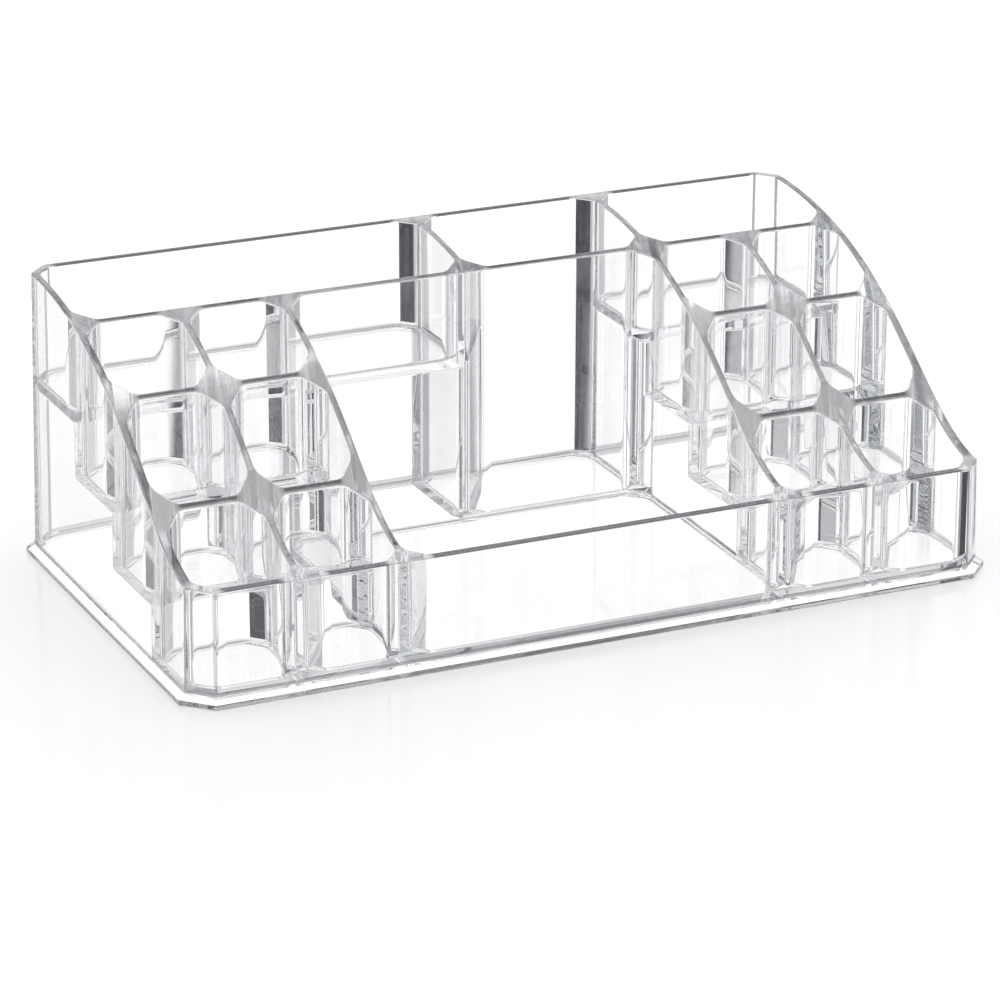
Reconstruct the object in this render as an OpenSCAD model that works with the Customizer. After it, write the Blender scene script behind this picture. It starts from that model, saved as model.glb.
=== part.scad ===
/* [Overall] */
// Width across the outside of the side walls, at the highest rim
rim_w = 219; // [200:1:240]
// Depth across the outside of the front and back walls, at the highest rim
rim_d = 120; // [112:1:130]
// Height of the back wall above the table
rim_h = 77.6; // [72:0.1:86]
// Height of the front lip above the table
lip_h = 29.6; // [26:0.1:34]
// Wall and divider thickness
wall_t = 1.8; // [1.4:0.1:2.2]
// Outward lean of the outside faces towards the base, in degrees
draft_deg = 1.1; // [0.5:0.1:1.5]

/* [Corners] */
// Leg of the 45 degree facets on the four outside corners, at the highest rim
outer_leg = 5; // [4:0.1:6]
// Leg of the 45 degree webs in the corners of every compartment
web_leg = 4.8; // [3:0.1:5.2]

/* [Compartments] */
// Distance between the centre planes of the two tray side walls
tray_w = 106; // [90:1:116]
// Distance between the centre planes of the back wall and the back row's front wall
back_row_d = 35.7; // [30:0.1:40]

/* [Floors] */
// Height of the lowest floors above the table
floor_z = 3.2; // [2.4:0.1:3.6]
// Rise from each tier's floor to the next
tier_step = 15; // [13:0.1:15.6]
// Floor thickness
floor_t = 2; // [1.4:0.1:2.2]

/* [Side profile] */
// Reach of the curve's flat back part
back_reach = 74.7; // [66:0.1:80]
// Reach of the curve's flat front part
front_reach = 33.3; // [26:0.1:40]
// Straight pieces that make up the curve
profile_steps = 28; // [16:2:40]

/* [Base rim] */
// How far the rim stands out past the walls
rim_out = 2; // [1.5:0.1:3]
// Height of the rim's outer edge
rim_edge_h = 1.4; // [1:0.1:1.8]
// Height at which the rim's slope runs into the walls
rim_top_h = 2.8; // [2.4:0.1:3.6]
// Width of the rim's foot, where the part stands on the table
foot_w = 1; // [0.8:0.1:1.4]

/* [Hidden] */

a = rim_w / 2;                 // half width at the rim
b = rim_d / 2;                 // half depth at the rim
s = wall_t / 2;
c = web_leg;
dr = tan(draft_deg);
function lean(z) = dr * (rim_h - z);   // how far an outside face has moved out at height z
e0 = lean(0);

// centre planes of the walls that run front to back
x_tray = tray_w / 2;
x_col = (a - s + x_tray) / 2;
// centre planes of the walls that run left to right
y_back_row = b - s - back_row_d;
row_p = (y_back_row + b - s) / 3;
y_mid = y_back_row - row_p;
y_low = y_back_row - 2 * row_p;

// floor heights, lowest first
function tier_z(i) = floor_z + i * tier_step;

// inside faces of the outside walls
ix = a - wall_t;
iy = b - wall_t;
// where the corner pieces take over from the straight walls
cx = ix - c;
cy = iy - c;

// side profile: a cubic curve from the front lip to the back wall
function bez(p, t) = pow(1 - t, 3) * p[0] + 3 * pow(1 - t, 2) * t * p[1]
                   + 3 * (1 - t) * t * t * p[2] + pow(t, 3) * p[3];
prof = [for (i = [0:profile_steps]) let (t = i / profile_steps)
        [bez([-b, -b + front_reach, b - back_reach, b], t),
         bez([lip_h, lip_h, rim_h, rim_h], t)]];
function top_z(y) = lookup(y, prof);

clear_c = [0.80, 0.90, 0.95, 0.55];

// extrudes a Y-Z outline along X
module along_x(x0, x1) translate([x0, 0, 0]) rotate([90, 0, 90]) linear_extrude(height = x1 - x0) children();
// extrudes an X-Z outline along Y
module along_y(y0, y1) translate([0, y1, 0]) rotate([90, 0, 0]) linear_extrude(height = y1 - y0) children();

// upright slab whose top follows the side profile
module slab(x0, x1, y0, y1, z0)
    along_x(x0, x1) polygon(concat([[y0, z0], [y1, z0], [y1, top_z(y1)]],
        [for (i = [profile_steps:-1:0]) if (prof[i][0] > y0 + 0.05 && prof[i][0] < y1 - 0.05) prof[i]],
        [[y0, top_z(y0)]]));

// everything below the side profile
module under_profile() slab(-a - 20, a + 20, -b - 20, b + 20, -1);

// a leaning slice with the given half width at the rim
module leaning(half, len)
    along_y(-len, len) polygon([[-half - e0, 0], [half + e0, 0], [half, rim_h], [-half, rim_h]]);

diag_half = (a + b - outer_leg) / sqrt(2);

// solid inside the outside faces, corners cut off
module body_solid() intersection() {
    leaning(a, 90);
    rotate([0, 0, 90]) leaning(b, 140);
    rotate([0, 0, 45]) leaning(diag_half, 140);
    rotate([0, 0, -45]) leaning(diag_half, 140);
}

// shallow space under the lowest floors; its edge runs parallel to the rim's slope
recess_h = floor_z - floor_t;
function recess_off(z) = e0 + rim_out - foot_w - z * rim_out / (rim_top_h - rim_edge_h);
module recess_slice(half, len)
    along_y(-len, len) polygon([[-half - recess_off(-1), -1], [half + recess_off(-1), -1],
        [half + recess_off(recess_h), recess_h], [-half - recess_off(recess_h), recess_h]]);
module foot_recess() intersection() {
    recess_slice(a, 140);
    rotate([0, 0, 90]) recess_slice(b, 140);
    rotate([0, 0, 45]) recess_slice(diag_half, 140);
    rotate([0, 0, -45]) recess_slice(diag_half, 140);
}

// plan outline of the space inside the outside walls
module inner_outline() polygon([[-ix + c, -iy], [ix - c, -iy], [ix, -iy + c], [ix, iy - c],
                                [ix - c, iy], [-ix + c, iy], [-ix, iy - c], [-ix, -iy + c]]);

module back_wall() color(clear_c) difference() {
    along_x(-cx, cx) polygon(concat([[iy, 0], [b + e0, 0], [b, rim_h]],
        [for (i = [profile_steps - 1:-1:0]) if (prof[i][0] > iy + 0.05) prof[i]], [[iy, top_z(iy)]]));
    foot_recess();
}

module front_wall() color(clear_c) difference() {
    along_x(-cx, cx) polygon(concat([[-iy, 0], [-iy, top_z(-iy)]],
        [for (i = [profile_steps:-1:0]) if (prof[i][0] < -iy - 0.05) prof[i]],
        [[-b - lean(lip_h), lip_h], [-b - e0, 0]]));
    foot_recess();
}

module side_wall() difference() {
    intersection() {
        slab(-a - 5, -ix, -cy, cy, 0);
        leaning(a, 90);
    }
    foot_recess();
}
module left_side_wall() color(clear_c) side_wall();
module right_side_wall() color(clear_c) mirror([1, 0, 0]) side_wall();

module outer_corner_walls() color(clear_c) difference() {
    intersection() {
        body_solid();
        under_profile();
        for (sx = [-1, 1], sy = [-1, 1])
            translate([sx > 0 ? cx : -cx - 20, sy > 0 ? cy : -cy - 20, 0]) cube([20, 20, rim_h + 5]);
    }
    translate([0, 0, -1]) linear_extrude(height = rim_h + 5) inner_outline();
    foot_recess();
}

// base rim: an upright edge and a slope up to the walls, the same on every side
module rim_outline(half) polygon([[half + e0 - 1, 0], [half + e0 + rim_out, 0],
    [half + e0 + rim_out, rim_edge_h], [half + lean(rim_top_h), rim_top_h], [half + e0 - 1, rim_top_h]]);
module base_rim() color(clear_c) {
    for (m = [0, 1]) mirror([m, 0, 0]) difference() {
        along_y(-cy, cy) rim_outline(a);
        leaning(a, 90);
        foot_recess();
    }
    for (m = [0, 1]) mirror([0, m, 0]) difference() {
        along_x(-cx, cx) rim_outline(b);
        rotate([0, 0, 90]) leaning(b, 140);
        foot_recess();
    }
}
// full-width slice with the rim's outline on both edges
module rim_slice(half, len)
    along_y(-len, len) polygon([[-half - e0 - rim_out, 0], [half + e0 + rim_out, 0],
        [half + e0 + rim_out, rim_edge_h], [half + lean(rim_top_h), rim_top_h],
        [-half - lean(rim_top_h), rim_top_h], [-half - e0 - rim_out, rim_edge_h]]);
module base_rim_corners() color(clear_c) difference() {
    intersection() {
        rim_slice(a, 90);
        rotate([0, 0, 90]) rim_slice(b, 140);
        rotate([0, 0, 45]) rim_slice(diag_half, 140);
        rotate([0, 0, -45]) rim_slice(diag_half, 140);
        for (sx = [-1, 1], sy = [-1, 1])
            translate([sx > 0 ? cx : -cx - 20, sy > 0 ? cy : -cy - 20, 0]) cube([20, 20, 10]);
    }
    body_solid();
    foot_recess();
}

// flat floor between two pairs of faces, its top at z, cut to the inside outline
module floor_plate(x0, x1, y0, y1, z)
    translate([0, 0, z - floor_t]) linear_extrude(height = floor_t) intersection() {
        translate([x0, y0]) square([x1 - x0, y1 - y0]);
        inner_outline();
    }
module tier_floor(side, row) {
    ys = [-iy, y_low + s, y_mid + s, y_low - s, y_mid - s, y_back_row - s];
    mirror([side, 0, 0]) floor_plate(-ix, -x_tray - s, ys[row], ys[row + 3], tier_z(row));
}
module tray_floor() color(clear_c) floor_plate(-x_tray + s, x_tray - s, -iy, y_back_row - s, floor_z);
module back_left_floor() color(clear_c) floor_plate(-ix, -s, y_back_row + s, iy, tier_z(3));
module back_middle_floor() color(clear_c) floor_plate(s, x_tray - s, y_back_row + s, iy, floor_z);
module back_right_floor() color(clear_c) floor_plate(x_tray + s, ix, y_back_row + s, iy, tier_z(3));
module left_upper_floor() color(clear_c) tier_floor(0, 2);
module left_middle_floor() color(clear_c) tier_floor(0, 1);
module left_lower_floor() color(clear_c) tier_floor(0, 0);
module right_upper_floor() color(clear_c) tier_floor(1, 2);
module right_middle_floor() color(clear_c) tier_floor(1, 1);
module right_lower_floor() color(clear_c) tier_floor(1, 0);

// riser between two tiers: the wall behind row and the drop below the next floor
module riser(side, y, row) mirror([side, 0, 0]) slab(-ix, -x_tray - s, y - s, y + s, tier_z(row) - floor_t);
module left_back_riser() color(clear_c) riser(0, y_back_row, 2);
module right_back_riser() color(clear_c) riser(1, y_back_row, 2);
module left_upper_riser() color(clear_c) riser(0, y_mid, 1);
module right_upper_riser() color(clear_c) riser(1, y_mid, 1);
module left_lower_riser() color(clear_c) riser(0, y_low, 0);
module right_lower_riser() color(clear_c) riser(1, y_low, 0);
module tray_back_wall() color(clear_c) slab(-x_tray - s, x_tray + s, y_back_row - s, y_back_row + s, recess_h);

module tray_left_wall() color(clear_c) slab(-x_tray - s, -x_tray + s, -iy, y_back_row - s, recess_h);
module tray_right_wall() color(clear_c) slab(x_tray - s, x_tray + s, -iy, y_back_row - s, recess_h);
module back_left_divider() color(clear_c) slab(-s, s, y_back_row + s, iy, recess_h);
module back_right_divider() color(clear_c) slab(x_tray - s, x_tray + s, y_back_row + s, iy, recess_h);

module column_divider() {
    slab(-x_col - s, -x_col + s, -iy, y_low - s, tier_z(0));
    slab(-x_col - s, -x_col + s, y_low + s, y_mid - s, tier_z(1));
    slab(-x_col - s, -x_col + s, y_mid + s, y_back_row - s, tier_z(2));
}
module left_column_divider() color(clear_c) column_divider();
module right_column_divider() color(clear_c) mirror([1, 0, 0]) column_divider();

// webs in the corners of one compartment; skip names a corner that the outside corner wall fills
module cell_webs(x0, x1, y0, y1, z, skip = -1) {
    corners = [[x0, y0, 1, 1], [x1, y0, -1, 1], [x1, y1, -1, -1], [x0, y1, 1, -1]];
    for (i = [0:3]) if (i != skip) let (k = corners[i])
        translate([k[0], k[1], z]) linear_extrude(height = rim_h + 1 - z)
            polygon(k[2] * k[3] > 0 ? [[0, 0], [k[2] * c, 0], [0, k[3] * c]]
                                    : [[0, 0], [0, k[3] * c], [k[2] * c, 0]]);
}
module block_webs() intersection() {
    union() {
        ya = [-iy, y_low + s, y_mid + s];
        yb = [y_low - s, y_mid - s, y_back_row - s];
        for (r = [0:2]) {
            cell_webs(-ix, -x_col - s, ya[r], yb[r], tier_z(r), r == 0 ? 0 : -1);
            cell_webs(-x_col + s, -x_tray - s, ya[r], yb[r], tier_z(r));
        }
    }
    under_profile();
}
module left_well_webs() color(clear_c) block_webs();
module right_well_webs() color(clear_c) mirror([1, 0, 0]) block_webs();
module back_row_webs() color(clear_c) intersection() {
    union() {
        cell_webs(-ix, -s, y_back_row + s, iy, tier_z(3), 3);
        cell_webs(s, x_tray - s, y_back_row + s, iy, floor_z);
        cell_webs(x_tray + s, ix, y_back_row + s, iy, tier_z(3), 2);
    }
    under_profile();
}
module tray_webs() color(clear_c) intersection() {
    cell_webs(-x_tray + s, x_tray - s, -iy, y_back_row - s, floor_z);
    under_profile();
}

back_wall();
left_side_wall();
right_side_wall();
front_wall();
outer_corner_walls();
base_rim();
base_rim_corners();
tray_floor();
back_left_floor();
back_middle_floor();
back_right_floor();
left_upper_floor();
left_middle_floor();
left_lower_floor();
right_upper_floor();
right_middle_floor();
right_lower_floor();
left_back_riser();
tray_back_wall();
right_back_riser();
left_upper_riser();
left_lower_riser();
right_upper_riser();
right_lower_riser();
tray_left_wall();
tray_right_wall();
back_left_divider();
back_right_divider();
left_column_divider();
right_column_divider();
left_well_webs();
right_well_webs();
back_row_webs();
tray_webs();
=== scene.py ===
import math
import bpy
import bmesh
from mathutils import Matrix, Vector


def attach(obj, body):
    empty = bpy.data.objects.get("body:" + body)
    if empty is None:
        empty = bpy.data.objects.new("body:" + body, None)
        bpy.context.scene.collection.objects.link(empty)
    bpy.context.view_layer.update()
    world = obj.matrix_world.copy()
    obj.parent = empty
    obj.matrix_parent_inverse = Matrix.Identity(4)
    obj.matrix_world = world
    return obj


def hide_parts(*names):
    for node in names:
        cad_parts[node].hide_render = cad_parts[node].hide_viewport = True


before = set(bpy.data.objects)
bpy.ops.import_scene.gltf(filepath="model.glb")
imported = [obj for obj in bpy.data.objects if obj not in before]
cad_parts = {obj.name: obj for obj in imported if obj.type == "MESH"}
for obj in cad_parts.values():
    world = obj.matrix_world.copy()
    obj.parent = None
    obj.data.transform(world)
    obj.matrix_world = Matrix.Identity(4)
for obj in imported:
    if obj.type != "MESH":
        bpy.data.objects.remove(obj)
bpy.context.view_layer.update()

# ---------------------------------------------------------------- sizes, in millimetres, in the frame of the CAD
A, B = 109.5, 60.0            # half width and half depth outside the walls, at the highest rim
RIM_H, LIP_H = 77.6, 29.6
T = 1.8
S = T / 2
DRAFT = math.tan(math.radians(1.1))
OUTER_LEG, WEB_LEG = 5.0, 4.8
X_TRAY = 53.0
FLOOR_Z, TIER, FLOOR_T = 3.2, 15.0, 2.0
IX, IY = A - T, B - T
X_COL = (A - S + X_TRAY) / 2
Y_BACK = B - S - 35.7
ROW = (Y_BACK + B - S) / 3
Y_MID, Y_LOW = Y_BACK - ROW, Y_BACK - 2 * ROW
DIAG = (A + B - OUTER_LEG) / math.sqrt(2)
RIM_OUT, RIM_EDGE, RIM_TOP, FOOT = 2.0, 1.4, 2.8, 1.0
RECESS = FLOOR_Z - FLOOR_T

WEB_R = 3.8                   # rounding where a web runs into a wall
FILLET = 1.6                  # rounding between walls and floor
EDGE_R = 0.48                 # softening of every outer edge
ARC = 4


def lean(z):
    return DRAFT * (RIM_H - z)


def tier_z(i):
    return FLOOR_Z + TIER * i


def bez(p, t):
    return (1 - t) ** 3 * p[0] + 3 * (1 - t) ** 2 * t * p[1] + 3 * (1 - t) * t * t * p[2] + t ** 3 * p[3]


def top_z(y):
    """Height of the side profile at y, from the cubic curve."""
    if y <= -B:
        return LIP_H
    if y >= B:
        return RIM_H
    lo, hi = 0.0, 1.0
    for _ in range(60):
        m = (lo + hi) / 2
        if bez((-B, -B + 33.3, B - 74.7, B), m) < y:
            lo = m
        else:
            hi = m
    return bez((LIP_H, LIP_H, RIM_H, RIM_H), (lo + hi) / 2)


# ---------------------------------------------------------------- closed solids as meshes
def mesh_object(name, verts, faces):
    me = bpy.data.meshes.new(name)
    me.from_pydata([tuple(v) for v in verts], [], faces)
    me.update()
    bm = bmesh.new()
    bm.from_mesh(me)
    bmesh.ops.recalc_face_normals(bm, faces=bm.faces)
    bm.to_mesh(me)
    bm.free()
    o = bpy.data.objects.new(name, me)
    bpy.context.scene.collection.objects.link(o)
    return o


def loft(name, rings):
    """A closed solid through rings of equal count, lowest ring first."""
    n = len(rings[0])
    verts = [p for r in rings for p in r]
    faces = [list(range(n))[::-1]]
    for k in range(len(rings) - 1):
        for i in range(n):
            j = (i + 1) % n
            faces.append([k * n + i, k * n + j, (k + 1) * n + j, (k + 1) * n + i])
    faces.append([(len(rings) - 1) * n + i for i in range(n)])
    return mesh_object(name, verts, faces)


def octagon(hx, hy, diag):
    """Corners of a rectangle with four 45 degree cuts at the distance diag."""
    leg = hx + hy - math.sqrt(2) * diag
    return [(hx - leg, -hy), (hx, -hy + leg), (hx, hy - leg), (hx - leg, hy),
            (-hx + leg, hy), (-hx, hy - leg), (-hx, -hy + leg), (-hx + leg, -hy)]


def rounded(points, r, seg):
    """Rounds every corner of a convex outline with the radius r."""
    out = []
    n = len(points)
    for i in range(n):
        p, q, s = Vector(points[i - 1]), Vector(points[i]), Vector(points[(i + 1) % n])
        a, b = (p - q).normalized(), (s - q).normalized()
        half = math.acos(max(-1, min(1, a.dot(b)))) / 2
        c = q + (a + b).normalized() * (r / math.sin(half))
        start, end = q + a * (r / math.tan(half)), q + b * (r / math.tan(half))
        u, v = start - c, end - c
        sweep = math.atan2(u.x * v.y - u.y * v.x, u.dot(v))
        for k in range(seg + 1):
            t = sweep * k / seg
            out.append((c.x + u.x * math.cos(t) - u.y * math.sin(t), c.y + u.x * math.sin(t) + u.y * math.cos(t)))
    return out


def pocket(name, x0, x1, y0, y1, z):
    """Space inside one compartment, with a rounded floor edge and rounded webs."""
    cx, cy, hx, hy = (x0 + x1) / 2, (y0 + y1) / 2, (x1 - x0) / 2, (y1 - y0) / 2
    ztop = top_z(y1)
    diag = (hx + hy - WEB_LEG) / math.sqrt(2)
    rings = []
    steps = [(z + FILLET * (1 - math.cos(a)), FILLET * (1 - math.sin(a)))
             for a in (math.pi / 2 * k / 7 for k in range(8))]
    levels = steps + [(ztop + 12, 0.0)]
    for h, d in levels:
        ring = rounded(octagon(hx - d, hy - d, diag - d), max(WEB_R - d, 0.15), ARC)
        rings.append([(cx + px, cy + py, h) for px, py in ring])
    return loft(name, rings)


def box_solid(name, x0, x1, y0, y1, z0, z1, draft=0.0):
    d = draft * (z1 - z0)
    rings = [[(x0, y0, z0), (x1, y0, z0), (x1, y1, z0), (x0, y1, z0)],
             [(x0 + d, y0 + d, z1), (x1 - d, y0 + d, z1), (x1 - d, y1 - d, z1), (x0 + d, y1 - d, z1)]]
    return loft(name, rings)


def outer_body():
    """Outside of the moulding up to the highest rim: leaning walls, cut corners and the sloped base rim."""
    e0 = lean(0)
    rim = [(1.86, 0.0), (1.96, 0.04), (RIM_OUT, 0.14), (RIM_OUT, RIM_EDGE - 0.12), (1.965, RIM_EDGE - 0.03), (1.87, RIM_EDGE + 0.07),
           (0.16, RIM_TOP - 0.1), (0.06, RIM_TOP + 0.0), (0.01, RIM_TOP + 0.2)]
    rings = []
    for out, z in rim:
        off = (e0 if z < 1.5 else lean(z)) + out
        rings.append([(x, y, z) for x, y in octagon(A + off, B + off, DIAG + off)])
    for z in (3.6, RIM_H + 4):
        off = lean(z)
        rings.append([(x, y, z) for x, y in octagon(A + off, B + off, DIAG + off)])
    return loft("outer_body", rings)


def above_profile():
    """Everything above the side profile. Its breaks fall on the corners of the compartments."""
    ys = [-B, -B + S, Y_LOW, Y_MID, Y_BACK, B - S]
    for y0, y1 in ((-IY, Y_LOW - S), (Y_LOW + S, Y_MID - S), (Y_MID + S, Y_BACK - S), (Y_BACK + S, IY)):
        hy = (y1 - y0) / 2
        ring = rounded(octagon(20, hy, (20 + hy - WEB_LEG) / math.sqrt(2)), WEB_R, ARC)
        for y in sorted({round((y0 + y1) / 2 + py, 4) for _, py in ring if hy - abs(py) > 0.7}):
            if min(abs(y - k) for k in ys) > 0.45:
                ys.append(y)
    ys.sort()
    full = [ys[0]]
    for p, q in zip(ys, ys[1:]):
        n = max(1, math.ceil((q - p) / 2.2))
        full += [p + (q - p) * k / n for k in range(1, n + 1)]
    prof = [(-B - 20, LIP_H)] + [(y, top_z(y)) for y in full] + [(B + 20, RIM_H)]
    outline = prof + [(B + 20, RIM_H + 30), (-B - 20, RIM_H + 30)]
    rings = [[(x, y, z) for y, z in outline] for x in (-A - 20, A + 20)]
    return loft("above_profile", rings)


def core():
    """The hollow under the floors: the shallow recess inside the foot, and the stepped space under the raised floors."""
    steps = [(Y_LOW + S, 0.5), (Y_LOW + S, tier_z(1) - FLOOR_T),
             (Y_MID + S, tier_z(1) - FLOOR_T), (Y_MID + S, tier_z(2) - FLOOR_T), (Y_BACK + S, tier_z(2) - FLOOR_T),
             (Y_BACK + S, tier_z(3) - FLOOR_T), (IY + 1, tier_z(3) - FLOOR_T), (IY + 1, 0.5)]
    parts = []
    for x0, x1 in ((-IX - 1, -X_TRAY - S), (X_TRAY + S, IX + 1)):
        parts.append(loft("core", [[(x, y, z) for y, z in steps] for x in (x0, x1)]))
    parts.append(box_solid("core_back", -X_TRAY - S - 0.6, -S, Y_BACK + S, IY, 0.5, tier_z(3) - FLOOR_T))
    run = RIM_OUT / (RIM_TOP - RIM_EDGE)
    rings = []
    for z in (-1, RECESS):
        off = lean(0) + RIM_OUT - FOOT - z * run
        rings.append([(x, y, z) for x, y in octagon(A + off, B + off, DIAG + off)])
    for part in parts[:2]:
        ring = rounded(octagon(IX, IY, (IX + IY - WEB_LEG) / math.sqrt(2)), WEB_R, ARC)
        boolean(part, [loft("inside", [[(x, y, z) for x, y in ring] for z in (-3, 60)])], "INTERSECT")
    parts.insert(0, loft("recess", rings))
    return parts


def boolean(target, cutters, how="DIFFERENCE"):
    for c in cutters:
        m = target.modifiers.new("cut", "BOOLEAN")
        m.operation = how
        m.solver = "MANIFOLD"
        m.object = c
        apply(target)
    for c in cutters:
        me = c.data
        bpy.data.objects.remove(c)
        bpy.data.meshes.remove(me)


def apply(o):
    bpy.context.view_layer.update()
    deps = bpy.context.evaluated_depsgraph_get()
    me = bpy.data.meshes.new_from_object(o.evaluated_get(deps), preserve_all_data_layers=True, depsgraph=deps)
    old = o.data
    o.modifiers.clear()
    o.data = me
    bpy.data.meshes.remove(old)


body = outer_body()
rows = [(-IY, Y_LOW - S), (Y_LOW + S, Y_MID - S), (Y_MID + S, Y_BACK - S)]
cutters = []
for side in (-1, 1):
    for r, (y0, y1) in enumerate(rows):
        for p, q in ((X_COL + S, IX), (X_TRAY + S, X_COL - S)):
            x0, x1 = sorted((side * p, side * q))
            cutters.append(pocket("well", x0, x1, y0, y1, tier_z(r)))
cutters.append(pocket("back_left", -IX, -S, Y_BACK + S, IY, tier_z(3)))
cutters.append(pocket("back_middle", S, X_TRAY - S, Y_BACK + S, IY, FLOOR_Z))
cutters.append(pocket("back_right", X_TRAY + S, IX, Y_BACK + S, IY, tier_z(3)))
cutters.append(pocket("tray", -X_TRAY + S, X_TRAY - S, -IY, Y_BACK - S, FLOOR_Z))
boolean(body, cutters)
boolean(body, core())
boolean(body, [above_profile()])

bm = bmesh.new()
bm.from_mesh(body.data)
bmesh.ops.remove_doubles(bm, verts=bm.verts, dist=0.006)
bmesh.ops.dissolve_degenerate(bm, edges=bm.edges, dist=0.004)
bm.to_mesh(body.data)
bm.free()

bm = bmesh.new()
bm.from_mesh(body.data)
soft = [e for e in bm.edges if e.calc_face_angle(0) > math.radians(28)
        and not all(v.co.z < 3.7 and (abs(v.co.x) > A + 0.5 or abs(v.co.y) > B + 0.5 or abs(v.co.x) + abs(v.co.y) > A + B - 3.5)
                    for v in e.verts)]
bmesh.ops.bevel(bm, geom=soft, offset=EDGE_R, offset_type="OFFSET", segments=3, profile=0.5, affect="EDGES",
                clamp_overlap=False, miter_outer="SHARP", miter_inner="SHARP")
bmesh.ops.remove_doubles(bm, verts=bm.verts, dist=0.02)
bmesh.ops.dissolve_degenerate(bm, edges=bm.edges, dist=0.004)
for e in bm.edges:
    e.smooth = e.calc_face_angle(0) < math.radians(32)
for f in bm.faces:
    f.smooth = True
bm.to_mesh(body.data)
bm.free()
m = body.modifiers.new("even", "WEIGHTED_NORMAL")
m.mode, m.weight, m.keep_sharp = "FACE_AREA", 50, True
apply(body)

# the tops of the walls are marked, because their finish differs from the wall faces and they carry painted shade lines;
# the narrow strips of the rim and the upright outer corners are marked only to carry painted shade lines
me = body.data
rail = me.attributes.new("rail", "FLOAT", "FACE")
rim = me.attributes.new("rim", "FLOAT", "FACE")


def at_corner(pts):
    """True where all points are close to the same one of the eight upright outer edges."""
    edges = [octagon(A + lean(p.z), B + lean(p.z), DIAG + lean(p.z)) for p in pts]
    return any(all(math.hypot(p.x - e[k][0], p.y - e[k][1]) < 0.62 for p, e in zip(pts, edges)) for k in range(8))


for f in me.polygons:
    pts = [me.vertices[v].co for v in f.vertices]
    up = 0.15 if min(p.y for p in pts) > B - T - 0.1 else 0.55
    rail.data[f.index].value = 1.0 if f.normal.z > up and all(abs(p.z - top_z(p.y)) < 0.5 for p in pts) else 0.0
    outside = all(abs(p.x) > A + 0.7 or abs(p.y) > B + 0.7 or abs(p.x) + abs(p.y) > A + B - OUTER_LEG + 1.5 for p in pts)
    low, high = min(p.z for p in pts), max(p.z for p in pts)
    edge = outside and low > 0.03 and high < RIM_EDGE
    crease = outside and low > RIM_TOP - 0.15 and high < 3.65
    upright = abs(f.normal.z) < 0.2 and low > 3.0 and at_corner(pts)
    # painted shade: how dark the painted line is on the rim's outer edge, on the crease where the rim meets the wall,
    # and on the upright outer corners, darker at the back
    rim.data[f.index].value = 0.65 if crease else 0.7 if edge else 0.0 if not upright else 0.9 if pts[0].y > 0 else 0.6

body.name = "organizer_moulding"
body.data.name = "organizer_moulding"
body.data.transform(Matrix.Scale(0.001, 4))


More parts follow.
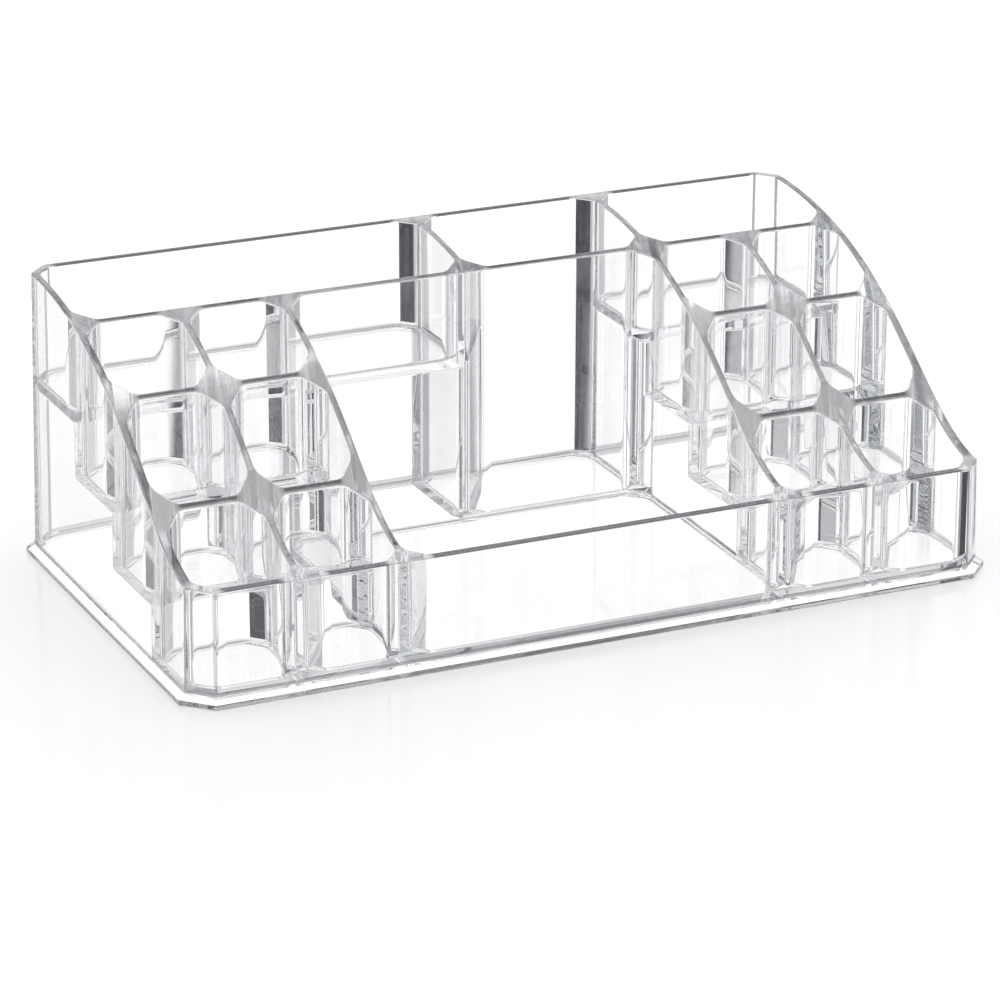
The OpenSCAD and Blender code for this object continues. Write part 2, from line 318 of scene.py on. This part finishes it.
# ---------------------------------------------------------------- material
def clear_plastic():
    """Polished clear plastic: faintly wavy faces, an uneven tint, a grey absorption through the thickness, and wall
    tops that are less polished and greyer.
    On the wall tops, the rim strips and the outer corners it also carries painted shade: dark lines, darkest along the
    thin wall tops and lighter where the walls meet."""
    m = bpy.data.materials.new("clear_plastic")
    m.use_nodes = True
    nt = m.node_tree
    nt.nodes.clear()
    link = nt.links.new

    def put(socket, v):
        if isinstance(v, (int, float)):
            socket.default_value = v
        elif v is not None:
            link(v, socket)

    def calc(op, *values):
        n = nt.nodes.new("ShaderNodeMath")
        n.operation = op
        for socket, v in zip(n.inputs, values):
            put(socket, v)
        return n.outputs[0]

    def spans(value, lo, hi, pairs, soft=0.8):
        """1 inside each of the pairs of a coordinate in millimetres, 0 elsewhere."""
        n = nt.nodes.new("ShaderNodeValToRGB")
        link(calc("MULTIPLY_ADD", value, 1000 / (hi - lo), -lo / (hi - lo)), n.inputs[0])
        stops = []
        for p, q in pairs:
            stops += [(p - soft, 0), (p + soft, 1), (q - soft, 1), (q + soft, 0)]
        ramp = n.color_ramp
        for k, (at, v) in enumerate(stops):
            el = ramp.elements[k] if k < 2 else ramp.elements.new(1.0)
            el.position = min(max((at - lo) / (hi - lo), 0), 1)
            el.color = (v, v, v, 1)
        return n.outputs["Color"]

    def tinted(a, b, fac):
        n = nt.nodes.new("ShaderNodeMix")
        n.data_type = "RGBA"
        link(fac, n.inputs["Factor"])
        for socket, v in ((n.inputs["A"], a), (n.inputs["B"], b)):
            if isinstance(v, tuple):
                socket.default_value = (*v, 1)
            else:
                link(v, socket)
        return n.outputs["Result"]

    def attribute(name):
        n = nt.nodes.new("ShaderNodeAttribute")
        n.attribute_name = name
        return n.outputs["Fac"]

    out = nt.nodes.new("ShaderNodeOutputMaterial")
    b = nt.nodes.new("ShaderNodeBsdfPrincipled")
    b.inputs["IOR"].default_value = 1.54
    b.inputs["Transmission Weight"].default_value = 1.0
    link(b.outputs["BSDF"], out.inputs["Surface"])
    tc = nt.nodes.new("ShaderNodeTexCoord")
    sep = nt.nodes.new("ShaderNodeSeparateXYZ")
    link(tc.outputs["Object"], sep.inputs[0])
    wave = nt.nodes.new("ShaderNodeTexNoise")
    wave.inputs["Scale"].default_value = 60.0
    wave.inputs["Detail"].default_value = 0.0
    link(tc.outputs["Object"], wave.inputs["Vector"])
    clear = tinted((0.965, 0.967, 0.970), (1.0, 1.0, 1.0), wave.outputs["Fac"])

    # painted shade: the masks below lay dark lines along the wall tops, weaker where the walls meet and near the back
    # middle, standing in for refraction lines
    gap = WEB_LEG + S                       # the webs reach this far from the middle of a wall
    half = calc("ABSOLUTE", sep.outputs["X"])
    across = spans(half, -10, 120, [(-9, X_TRAY - gap), (X_TRAY + gap, X_COL - gap), (X_COL + gap, A - S - gap)])
    crest = spans(sep.outputs["Y"], -70, 70, [(-B - 1.0, -B + T - 0.15)] + [(y - 0.6, y + 0.6) for y in (Y_LOW, Y_MID, Y_BACK)]
                  + [(B - T - 0.3, B + 0.6)], 0.12)
    behind = calc("GREATER_THAN", sep.outputs["Y"], (Y_BACK - 4) / 1000)
    middle = calc("MULTIPLY", behind, calc("LESS_THAN", half, gap / 1000))
    across = calc("MULTIPLY", calc("MULTIPLY", across, calc("SUBTRACT", 1.0, middle)), calc("MULTIPLY_ADD", crest, 0.8, 0.2))
    rear = calc("MULTIPLY", calc("GREATER_THAN", sep.outputs["Y"], (B - T - 0.3) / 1000),
                spans(sep.outputs["X"], -115, 115, [(-A + S + gap, -gap), (gap, X_TRAY - gap), (X_TRAY + gap, A - S - gap)]))
    across = calc("MAXIMUM", across, rear)
    near = calc("LESS_THAN", calc("ABSOLUTE", calc("SUBTRACT", sep.outputs["Y"], Y_BACK / 1000)), 0.002)
    near = calc("MULTIPLY", near, calc("LESS_THAN", half, (X_TRAY - gap + 1) / 1000))
    across = calc("MULTIPLY", across, calc("MULTIPLY_ADD", near, -0.35, 1.0))
    along = spans(sep.outputs["Y"], -70, 70, [(p + gap, q - gap) for p, q in
                                              ((-B + S, Y_LOW), (Y_LOW, Y_MID), (Y_MID, Y_BACK), (Y_BACK, B - S))])
    back = calc("MULTIPLY", calc("GREATER_THAN", sep.outputs["Y"], (Y_BACK + gap) / 1000), calc("LESS_THAN", half, 0.06))
    along = calc("MULTIPLY", along, calc("MULTIPLY_ADD", back, -0.4, 1.0))
    walls = (-A + S, -X_COL, -X_TRAY, 0, X_TRAY, X_COL, A - S)
    side = spans(sep.outputs["X"], -115, 115, [(x + 0.3, x + 1.0) for x in walls], 0.12)
    along = calc("MULTIPLY", along, calc("MULTIPLY_ADD", side, 0.45, 0.45))
    top = attribute("rail")
    # painted shade: the dark base colour on the masked wall tops and on the marked rim strips and corners stands in for
    # dark refraction lines; the wall tops also get a grey tint
    painted_shade = calc("MAXIMUM", calc("MULTIPLY", top, calc("MAXIMUM", across, along)), attribute("rim"))
    colour = tinted(clear, (0.86, 0.862, 0.87), top)
    link(tinted(colour, (0.03, 0.032, 0.038), painted_shade), b.inputs["Base Color"])
    link(calc("MULTIPLY", top, 0.13), b.inputs["Roughness"])
    bump = nt.nodes.new("ShaderNodeBump")
    bump.inputs["Strength"].default_value = 0.22
    bump.inputs["Distance"].default_value = 0.0001
    link(wave.outputs["Fac"], bump.inputs["Height"])
    link(bump.outputs["Normal"], b.inputs["Normal"])
    vol = nt.nodes.new("ShaderNodeVolumeAbsorption")
    vol.inputs["Color"].default_value = (0.72, 0.73, 0.742, 1)
    vol.inputs["Density"].default_value = 22.0
    link(vol.outputs["Volume"], out.inputs["Volume"])
    return m


body.data.materials.clear()
body.data.materials.append(clear_plastic())
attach(body, "root")
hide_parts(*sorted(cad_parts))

# ---------------------------------------------------------------- floor
bm = bmesh.new()
bmesh.ops.create_grid(bm, x_segments=1, y_segments=1, size=6.0)
me = bpy.data.meshes.new("floor")
bm.to_mesh(me)
bm.free()
floor = bpy.data.objects.new("floor", me)
floor.location.z = -0.0002
bpy.context.scene.collection.objects.link(floor)
fm = bpy.data.materials.new("pale_floor")
fm.use_nodes = True
nt = fm.node_tree
b = nt.nodes["Principled BSDF"]
b.inputs["Base Color"].default_value = (0.5, 0.5, 0.5, 1)
b.inputs["Roughness"].default_value = 0.12
b.inputs["Emission Color"].default_value = (1, 1, 1, 1)
b.inputs["Emission Strength"].default_value = 0.43
floor.data.materials.append(fm)
floor.visible_transmission = False

# ---------------------------------------------------------------- light: a soft surround, bright behind the object from every side
world = bpy.data.worlds.new("soft_surround")
bpy.context.scene.world = world
world.use_nodes = True
nt = world.node_tree
nt.nodes.clear()
link = nt.links.new


def math_node(op, a, b=None, c=None):
    n = nt.nodes.new("ShaderNodeMath")
    n.operation = op
    for socket, v in zip(n.inputs, (a, b, c)):
        if isinstance(v, (int, float)):
            socket.default_value = v
        elif v is not None:
            link(v, socket)
    return n.outputs[0]


def step_up(value, lo, hi):
    n = nt.nodes.new("ShaderNodeMapRange")
    n.interpolation_type = "SMOOTHSTEP"
    link(value, n.inputs["Value"])
    n.inputs["From Min"].default_value, n.inputs["From Max"].default_value = lo, hi
    return n.outputs["Result"]


def sector(turn, a0, a1, soft):
    """1 between the azimuths a0 and a1, measured in degrees from +Y toward +X, and 0 elsewhere."""
    return math_node("MULTIPLY", step_up(turn, math.radians(a0 - soft), math.radians(a0 + soft)),
                     math_node("SUBTRACT", 1.0, step_up(turn, math.radians(a1 - soft), math.radians(a1 + soft))))


def painted(under, colour, *masks):
    n = nt.nodes.new("ShaderNodeMix")
    n.data_type = "RGBA"
    link(math_node("MULTIPLY", *masks), n.inputs["Factor"])
    link(under, n.inputs["A"])
    n.inputs["B"].default_value = (*colour, 1)
    return n.outputs["Result"]


tc = nt.nodes.new("ShaderNodeTexCoord")
sep = nt.nodes.new("ShaderNodeSeparateXYZ")
link(tc.outputs["Generated"], sep.inputs[0])
height = math_node("MULTIPLY_ADD", sep.outputs["Z"], 0.5, 0.5)
ramp = nt.nodes.new("ShaderNodeValToRGB")
link(height, ramp.inputs[0])
levels = [(-90, 1.5), (-67, 1.5), (-63, 0.45), (-47, 0.45), (-43, 0.85), (-35, 0.9), (-31, 1.2), (0, 1.2), (2, 0.85), (7, 0.85),
          (9, 0.32), (13, 0.32), (15, 1.35), (19.5, 1.35), (21.5, 0.88), (26, 0.88), (28, 1.42), (39, 1.42), (42, 0.8), (58, 0.8),
          (62, 1.35), (90, 1.35)]
cr = ramp.color_ramp
for k, (deg, v) in enumerate(levels):
    pos = (math.sin(math.radians(deg)) + 1) / 2
    el = cr.elements[0] if k == 0 else cr.elements.new(pos) if k < len(levels) - 1 else cr.elements[-1]
    el.position = pos
    el.color = (v, v, v * 1.003, 1)
turn = math_node("ARCTAN2", sep.outputs["X"], sep.outputs["Y"])


def belt(e0, e1, soft=1.5):
    """1 between two elevations in degrees, 0 elsewhere."""
    z0, z1 = (math.sin(math.radians(e)) for e in (e0 - soft, e0 + soft))
    z2, z3 = (math.sin(math.radians(e)) for e in (e1 - soft, e1 + soft))
    return math_node("MULTIPLY", step_up(sep.outputs["Z"], z0, z1), math_node("SUBTRACT", 1.0, step_up(sep.outputs["Z"], z2, z3)))


narrow, deep, high = belt(-27, -14), belt(-33, -13), belt(-28, -6)
sky = painted(ramp.outputs["Color"], (0.50, 0.505, 0.52), sector(turn, 60, 80, 1.5), narrow)
sky = painted(sky, (0.004, 0.006, 0.018), sector(turn, 52.5, 62.5, 1.0), narrow)
sky = painted(sky, (0.46, 0.465, 0.48), sector(turn, -26, -9, 1.5), high)
sky = painted(sky, (0.05, 0.055, 0.07), sector(turn, -124, -103, 1.5), narrow)
sky = painted(sky, (0.40, 0.41, 0.43), sector(turn, 147, 163, 1.5), deep)
sky = painted(sky, (0.12, 0.125, 0.14), sector(turn, -169, -143, 1.5), deep)
sky = painted(sky, (0.42, 0.43, 0.45), sector(turn, -80, -52, 1.5), narrow)
bg = nt.nodes.new("ShaderNodeBackground")
link(sky, bg.inputs["Color"])
wout = nt.nodes.new("ShaderNodeOutputWorld")
link(bg.outputs[0], wout.inputs["Surface"])

# ---------------------------------------------------------------- camera
cam_data = bpy.data.cameras.new("camera")
cam = bpy.data.objects.new("camera", cam_data)
bpy.context.scene.collection.objects.link(cam)
az, el, ro = (math.radians(v) for v in (-24.77, 20.61, -0.16))
fwd = Vector((-math.sin(az) * math.cos(el), math.cos(az) * math.cos(el), -math.sin(el)))
right = Vector((math.cos(az), math.sin(az), 0))
down = fwd.cross(right)
r2 = right * math.cos(ro) + down * math.sin(ro)
d2 = -right * math.sin(ro) + down * math.cos(ro)
mat = Matrix((r2, -d2, -fwd)).transposed().to_4x4()
mat.translation = Vector((-0.4533, -0.9801, 0.4226))
cam.matrix_world = mat
cam_data.sensor_fit = "HORIZONTAL"
cam_data.sensor_width = 36.0
cam_data.lens = 4392.6 / 1000 * 36.0
cam_data.clip_start, cam_data.clip_end = 0.01, 50.0
bpy.context.scene.camera = cam
bpy.context.scene.view_settings.view_transform = "Standard"
cycles = bpy.context.scene.cycles
cycles.max_bounces, cycles.transmission_bounces, cycles.glossy_bounces = 64, 64, 48

bpy.context.view_layer.update()
